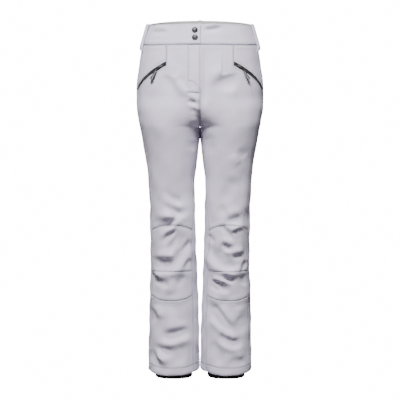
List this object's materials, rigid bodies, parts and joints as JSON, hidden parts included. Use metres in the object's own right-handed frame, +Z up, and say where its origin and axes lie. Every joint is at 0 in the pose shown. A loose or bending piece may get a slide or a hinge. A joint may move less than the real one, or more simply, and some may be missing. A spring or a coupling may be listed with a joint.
{
  "type": "ski trousers",
  "caption": "Slim softshell ski trousers with a snapped waist tab over a zipped fly, curved zip pockets, shaped knees and elastic boot gaiters.",
  "frame": {"origin": "middle of the waist opening, level with the waistband's top edge at the sides", "axes": "+Z up, the front faces -Y, the wearer's left is +X"},
  "size_m": [0.366, 0.2592, 1.0379],
  "materials": {
    "softshell": "bonded stretch softshell, off-white with a cool lavender cast, fine weave and a soft sheen",
    "lining": "light grey brushed lining",
    "zip_tape": "black water-repellent zip tape, half matt",
    "zip_coil": "black moulded coil or teeth",
    "gunmetal": "dark gunmetal plating, worn bright along edges",
    "black_grip": "black moulded grip, satin",
    "gaiter_cloth": "black plain-weave nylon",
    "elastic": "black ribbed elastic",
    "gripper": "dark grey silicone gripper strip"
  },
  "bodies": {
    "trousers": {"waistband_back": "softshell", "waistband_left": "softshell", "waistband_right": "softshell", "waist_lining": "lining", "belt_loops": "softshell", "front_yoke_left": "softshell", "front_yoke_right": "softshell", "front_panel_left": "softshell", "front_panel_right": "softshell", "back_panel_left": "softshell", "back_panel_right": "softshell", "knee_upper_left": "softshell", "knee_upper_right": "softshell", "knee_back_left": "softshell", "knee_back_right": "softshell", "fly_shield": "softshell", "fly_zip_tapes": "zip_tape", "fly_zip_teeth": "zip_coil", "fly_zip_stops": "gunmetal", "snap_studs": "gunmetal", "snap_backs": "gunmetal", "pocket_tape_left": "zip_tape", "pocket_tape_right": "zip_tape", "pocket_coil_left": "zip_coil", "pocket_coil_right": "zip_coil", "pocket_stops_left": "gunmetal", "pocket_stops_right": "gunmetal", "pocket_bag_left": "lining", "pocket_bag_right": "lining"},
    "fly_front": {"fly_flap": "softshell", "waist_tab": "softshell", "snap_caps": "gunmetal", "snap_sockets": "gunmetal"},
    "fly_zip_slider": {"fly_slider": "gunmetal", "fly_pull": "gunmetal"},
    "pocket_slider_body_left": {"pocket_slider_left": "gunmetal"},
    "pocket_slider_body_right": {"pocket_slider_right": "gunmetal"},
    "pocket_pull_left": {"pull_link_left": "gunmetal", "pull_grip_left": "black_grip"},
    "pocket_pull_right": {"pull_link_right": "gunmetal", "pull_grip_right": "black_grip"},
    "lower_leg_left": {"knee_lower_left": "softshell", "shin_panel_left": "softshell", "calf_panel_left": "softshell", "hem_facing_left": "softshell", "gaiter_left": "gaiter_cloth", "gaiter_elastic_left": "elastic", "gaiter_gripper_left": "gripper"},
    "lower_leg_right": {"knee_lower_right": "softshell", "shin_panel_right": "softshell", "calf_panel_right": "softshell", "hem_facing_right": "softshell", "gaiter_right": "gaiter_cloth", "gaiter_elastic_right": "elastic", "gaiter_gripper_right": "gripper"}
  },
  "joints": [
    {"name": "fly_open", "type": "hinge", "parent": "trousers", "child": "fly_front", "pos_m": [-0.036, -0.115, -0.129], "axis": [0, -0.0748, -0.9972], "range_deg": [0, 100]},
    {"name": "fly_zip_run", "type": "slide", "parent": "trousers", "child": "fly_zip_slider", "axis": [-0.0001, -0.0674, -0.9977], "range_m": [0, 0.09]},
    {"name": "pocket_zip_run_left", "type": "hinge", "parent": "trousers", "child": "pocket_slider_body_left", "pos_m": [0.02943, 0.02138, -0.19892], "axis": [0.1708, 0.611, 0.773], "range_deg": [0, 33.9]},
    {"name": "pocket_pull_lift_left", "type": "hinge", "parent": "pocket_slider_body_left", "child": "pocket_pull_left", "pos_m": [0.11728, -0.0944, -0.12681], "axis": [-0.622, -0.6957, -0.3592], "range_deg": [0, 130]},
    {"name": "pocket_zip_run_right", "type": "hinge", "parent": "trousers", "child": "pocket_slider_body_right", "pos_m": [-0.02943, 0.02138, -0.19892], "axis": [0.1708, -0.611, -0.773], "range_deg": [0, 33.9]},
    {"name": "pocket_pull_lift_right", "type": "hinge", "parent": "pocket_slider_body_right", "child": "pocket_pull_right", "pos_m": [-0.11728, -0.0944, -0.12681], "axis": [-0.622, 0.6957, 0.3592], "range_deg": [0, 130]},
    {"name": "knee_bend_left", "type": "hinge", "parent": "trousers", "child": "lower_leg_left", "pos_m": [0.077, 0.003, -0.69], "axis": [1, 0, 0], "range_deg": [0, 75], "deforming": ["knee_back_left"]},
    {"name": "knee_bend_right", "type": "hinge", "parent": "trousers", "child": "lower_leg_right", "pos_m": [-0.077, 0.003, -0.69], "axis": [1, 0, 0], "range_deg": [0, 75], "deforming": ["knee_back_right"]}
  ]
}
